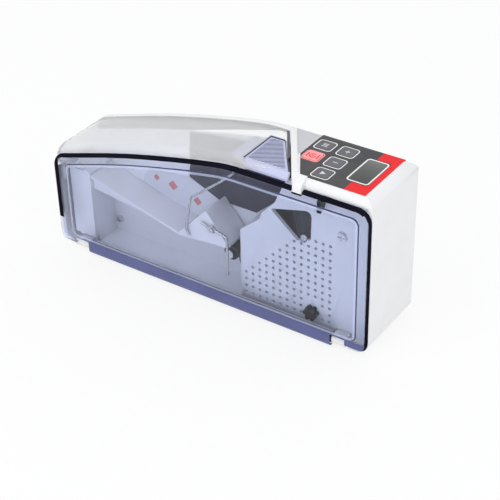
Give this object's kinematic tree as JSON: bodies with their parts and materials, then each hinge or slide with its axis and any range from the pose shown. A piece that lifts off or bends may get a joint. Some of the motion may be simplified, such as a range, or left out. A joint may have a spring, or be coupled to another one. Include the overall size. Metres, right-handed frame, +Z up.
{
  "type": "portable banknote counter and counterfeit detector",
  "caption": "Hand-held banknote counter with an arched smoked door and lid, note tray, geared feed roller, key panel with display, and a battery bay.",
  "frame": {"origin": "middle of the underside, on the surface that the feet stand on", "axes": "+X along the length towards the key panel, +Y to the back, +Z up"},
  "size_m": [0.19, 0.05, 0.09],
  "materials": {
    "housing_white": "fine texture",
    "tray_white": "satin",
    "smoke_clear": "clear smoked",
    "lid_clear": "clear pale smoke",
    "dark_plastic": "matte",
    "throat_grey": "matte",
    "black_plastic": "satin",
    "label_paper": "printed",
    "steel": "satin",
    "wire_steel": "bright",
    "brass": "satin",
    "roller_rubber": "matte",
    "hub_plastic": "satin",
    "gear_plastic": "satin",
    "panel_film": "satin film",
    "lens_plastic": "clear dark",
    "board": "coated",
    "key_grey": "satin",
    "key_red": "satin",
    "cell_wrap": "printed wrap",
    "foot_rubber": "matte"
  },
  "bodies": {
    "base": {"rear_shell": "housing_white", "tray_wall": "tray_white", "end_block": "tray_white", "hopper_plate": "tray_white", "wedge_guide": "tray_white", "throat_panel": "throat_grey", "tray_label": "label_paper", "tray_screw": "steel", "deck_cover": "tray_white", "deck_screw": "steel", "sensor_arm": "dark_plastic", "sensor_screw": "steel", "drive_plate": "hub_plastic", "feed_bushes": "brass", "idler_pin": "steel", "motor_can": "steel", "motor_cap": "black_plastic", "pinch_shaft": "steel", "wire_clip": "dark_plastic", "wire_pivot_screw": "steel", "key_panel": "panel_film", "display_lens": "lens_plastic", "display_module": "black_plastic", "main_board": "board", "board_screws": "steel", "tact_switches": "dark_plastic", "buzzer": "black_plastic", "dc_jack": "black_plastic", "power_switch": "dark_plastic", "battery_tray": "dark_plastic", "battery_cells": "cell_wrap", "battery_springs": "wire_steel", "rubber_feet": "foot_rubber", "case_screws": "steel", "door_pins": "steel", "lid_pin": "steel"},
    "door": {"front_door": "smoke_clear", "door_latch": "black_plastic"},
    "lid": {"top_lid": "lid_clear"},
    "start_key": {"key_start": "key_grey"},
    "restart_key": {"key_restart": "key_red"},
    "mode_key": {"key_mode": "key_grey"},
    "plus_key": {"key_plus": "key_grey"},
    "minus_key": {"key_minus": "key_grey"},
    "adjuster": {"thumb_screw": "black_plastic"},
    "press_wire": {"note_press_wire": "wire_steel"},
    "stack_wire": {"stacker_wire": "wire_steel"},
    "feed_roller": {"feed_shaft": "steel", "feed_hub": "hub_plastic", "feed_tyres": "roller_rubber", "feed_gear": "gear_plastic"},
    "idler": {"idler_gear": "gear_plastic"},
    "rotor": {"motor_shaft": "steel", "motor_pinion": "brass"},
    "pinch": {"pinch_rollers": "roller_rubber"},
    "slider": {"switch_slider": "black_plastic"},
    "bay_cover": {"battery_cover": "housing_white"}
  },
  "joints": [
    {"name": "door_swing", "type": "hinge", "parent": "base", "child": "door", "pos_m": [0, -0.021, 0.005], "axis": [1, 0, 0], "range_deg": [0, 90]},
    {"name": "lid_swing", "type": "hinge", "parent": "base", "child": "lid", "pos_m": [-0.0926, 0, 0.047], "axis": [0, -1, 0], "range_deg": [0, 95]},
    {"name": "adjuster_turn", "type": "hinge", "parent": "base", "child": "adjuster", "pos_m": [0.0616, 0, 0.0129], "axis": [0, -1, 0], "continuous": true},
    {"name": "press_swing", "type": "hinge", "parent": "base", "child": "press_wire", "pos_m": [0.0168, 0, 0.0774], "axis": [0, 1, 0], "range_deg": [-4, 24]},
    {"name": "stack_swing", "type": "hinge", "parent": "base", "child": "stack_wire", "pos_m": [0.0035, 0, 0.0415], "axis": [0, 1, 0], "range_deg": [-12, 6]},
    {"name": "feed_turn", "type": "hinge", "parent": "base", "child": "feed_roller", "pos_m": [0.0263, 0, 0.027], "axis": [0, 1, 0], "continuous": true},
    {"name": "idler_turn", "type": "hinge", "parent": "base", "child": "idler", "pos_m": [0.04072, 0, 0.03225], "axis": [0, 1, 0], "continuous": true},
    {"name": "rotor_turn", "type": "hinge", "parent": "base", "child": "rotor", "pos_m": [0.06122, 0, 0.02789], "axis": [0, 1, 0], "continuous": true},
    {"name": "pinch_turn", "type": "hinge", "parent": "base", "child": "pinch", "pos_m": [0.011, 0, 0.027], "axis": [0, 1, 0], "continuous": true},
    {"name": "bay_cover_swing", "type": "hinge", "parent": "base", "child": "bay_cover", "pos_m": [0, 0.0239, 0.0074], "axis": [-1, 0, 0], "range_deg": [0, 95]},
    {"name": "start_key_press", "type": "slide", "parent": "base", "child": "start_key", "axis": [0, 0, -1], "range_m": [0, 0.0005], "stiffness_N_per_m": 600, "springref_m": -0.0002},
    {"name": "restart_key_press", "type": "slide", "parent": "base", "child": "restart_key", "axis": [0, 0, -1], "range_m": [0, 0.0005], "stiffness_N_per_m": 600, "springref_m": -0.0002},
    {"name": "mode_key_press", "type": "slide", "parent": "base", "child": "mode_key", "axis": [0, 0, -1], "range_m": [0, 0.0005], "stiffness_N_per_m": 600, "springref_m": -0.0002},
    {"name": "plus_key_press", "type": "slide", "parent": "base", "child": "plus_key", "axis": [0, 0, -1], "range_m": [0, 0.0005], "stiffness_N_per_m": 600, "springref_m": -0.0002},
    {"name": "minus_key_press", "type": "slide", "parent": "base", "child": "minus_key", "axis": [0, 0, -1], "range_m": [0, 0.0005], "stiffness_N_per_m": 600, "springref_m": -0.0002},
    {"name": "switch_slide", "type": "slide", "parent": "base", "child": "slider", "axis": [1, 0, 0], "range_m": [0, 0.003]}
  ],
  "couplings": [
    {"joint": "idler_turn", "follows": "feed_turn", "ratio": -1.7143},
    {"joint": "rotor_turn", "follows": "feed_turn", "ratio": 5.7143},
    {"joint": "pinch_turn", "follows": "feed_turn", "ratio": -2.5714}
  ]
}
